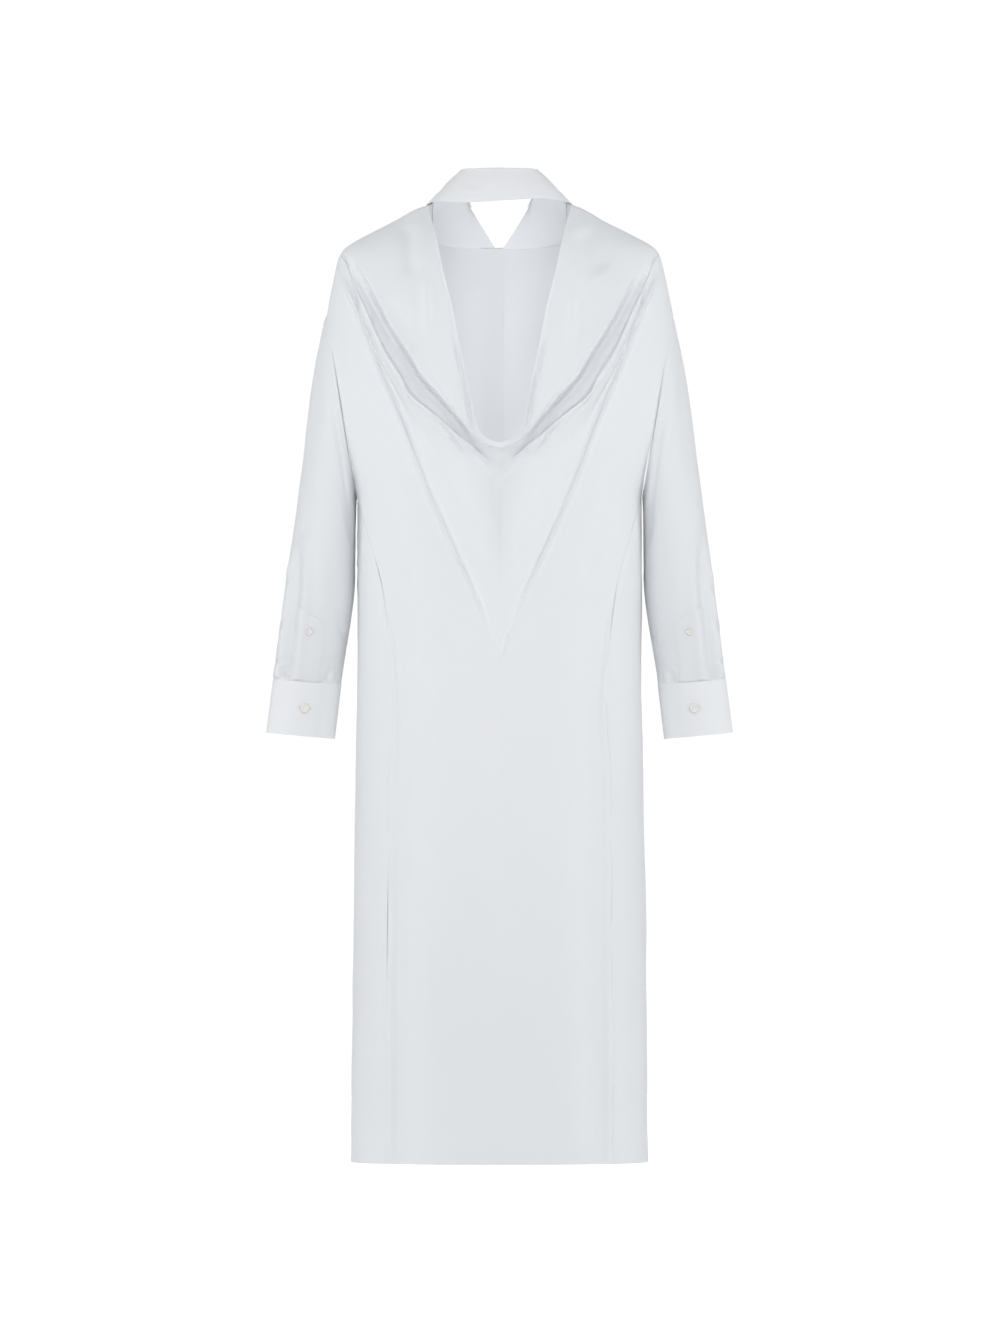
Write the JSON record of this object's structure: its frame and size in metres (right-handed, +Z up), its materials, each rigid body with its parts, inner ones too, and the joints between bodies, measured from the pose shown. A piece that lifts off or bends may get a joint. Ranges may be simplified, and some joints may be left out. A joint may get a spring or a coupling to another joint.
{
  "type": "shirt dress",
  "caption": "Long-sleeved cotton shirt dress in its worn, hollow form: straight midi skirt, collar bridging an open back that drapes in cowl folds.",
  "frame": {"origin": "midway between the two points where the shoulder seams meet the collar, where the wearer's shoulders carry the dress", "axes": "+Z up, +Y towards the front of the dress, +X towards the wearer's right; the back faces -Y"},
  "size_m": [0.5976, 0.2522, 1.2706],
  "materials": {
    "poplin": "crisp matte cotton poplin, cool white, finely woven, pressed",
    "button": "smooth off-white shirt button with a soft gloss"
  },
  "bodies": {
    "root": {"back": "poplin", "front_left": "poplin", "front_right": "poplin", "front_placket": "poplin", "sleeve_left": "poplin", "sleeve_right": "poplin", "sleeve_placket_left": "poplin", "sleeve_placket_right": "poplin", "cuff_left": "poplin", "cuff_right": "poplin", "collar_stand": "poplin", "collar_fall": "poplin", "front_button_1": "button", "front_button_2": "button", "front_button_3": "button", "front_button_4": "button", "front_button_5": "button", "front_button_6": "button", "front_button_7": "button", "front_button_8": "button", "front_button_9": "button", "cuff_button_left": "button", "cuff_button_right": "button", "placket_button_left": "button", "placket_button_right": "button"}
  },
  "joints": []
}
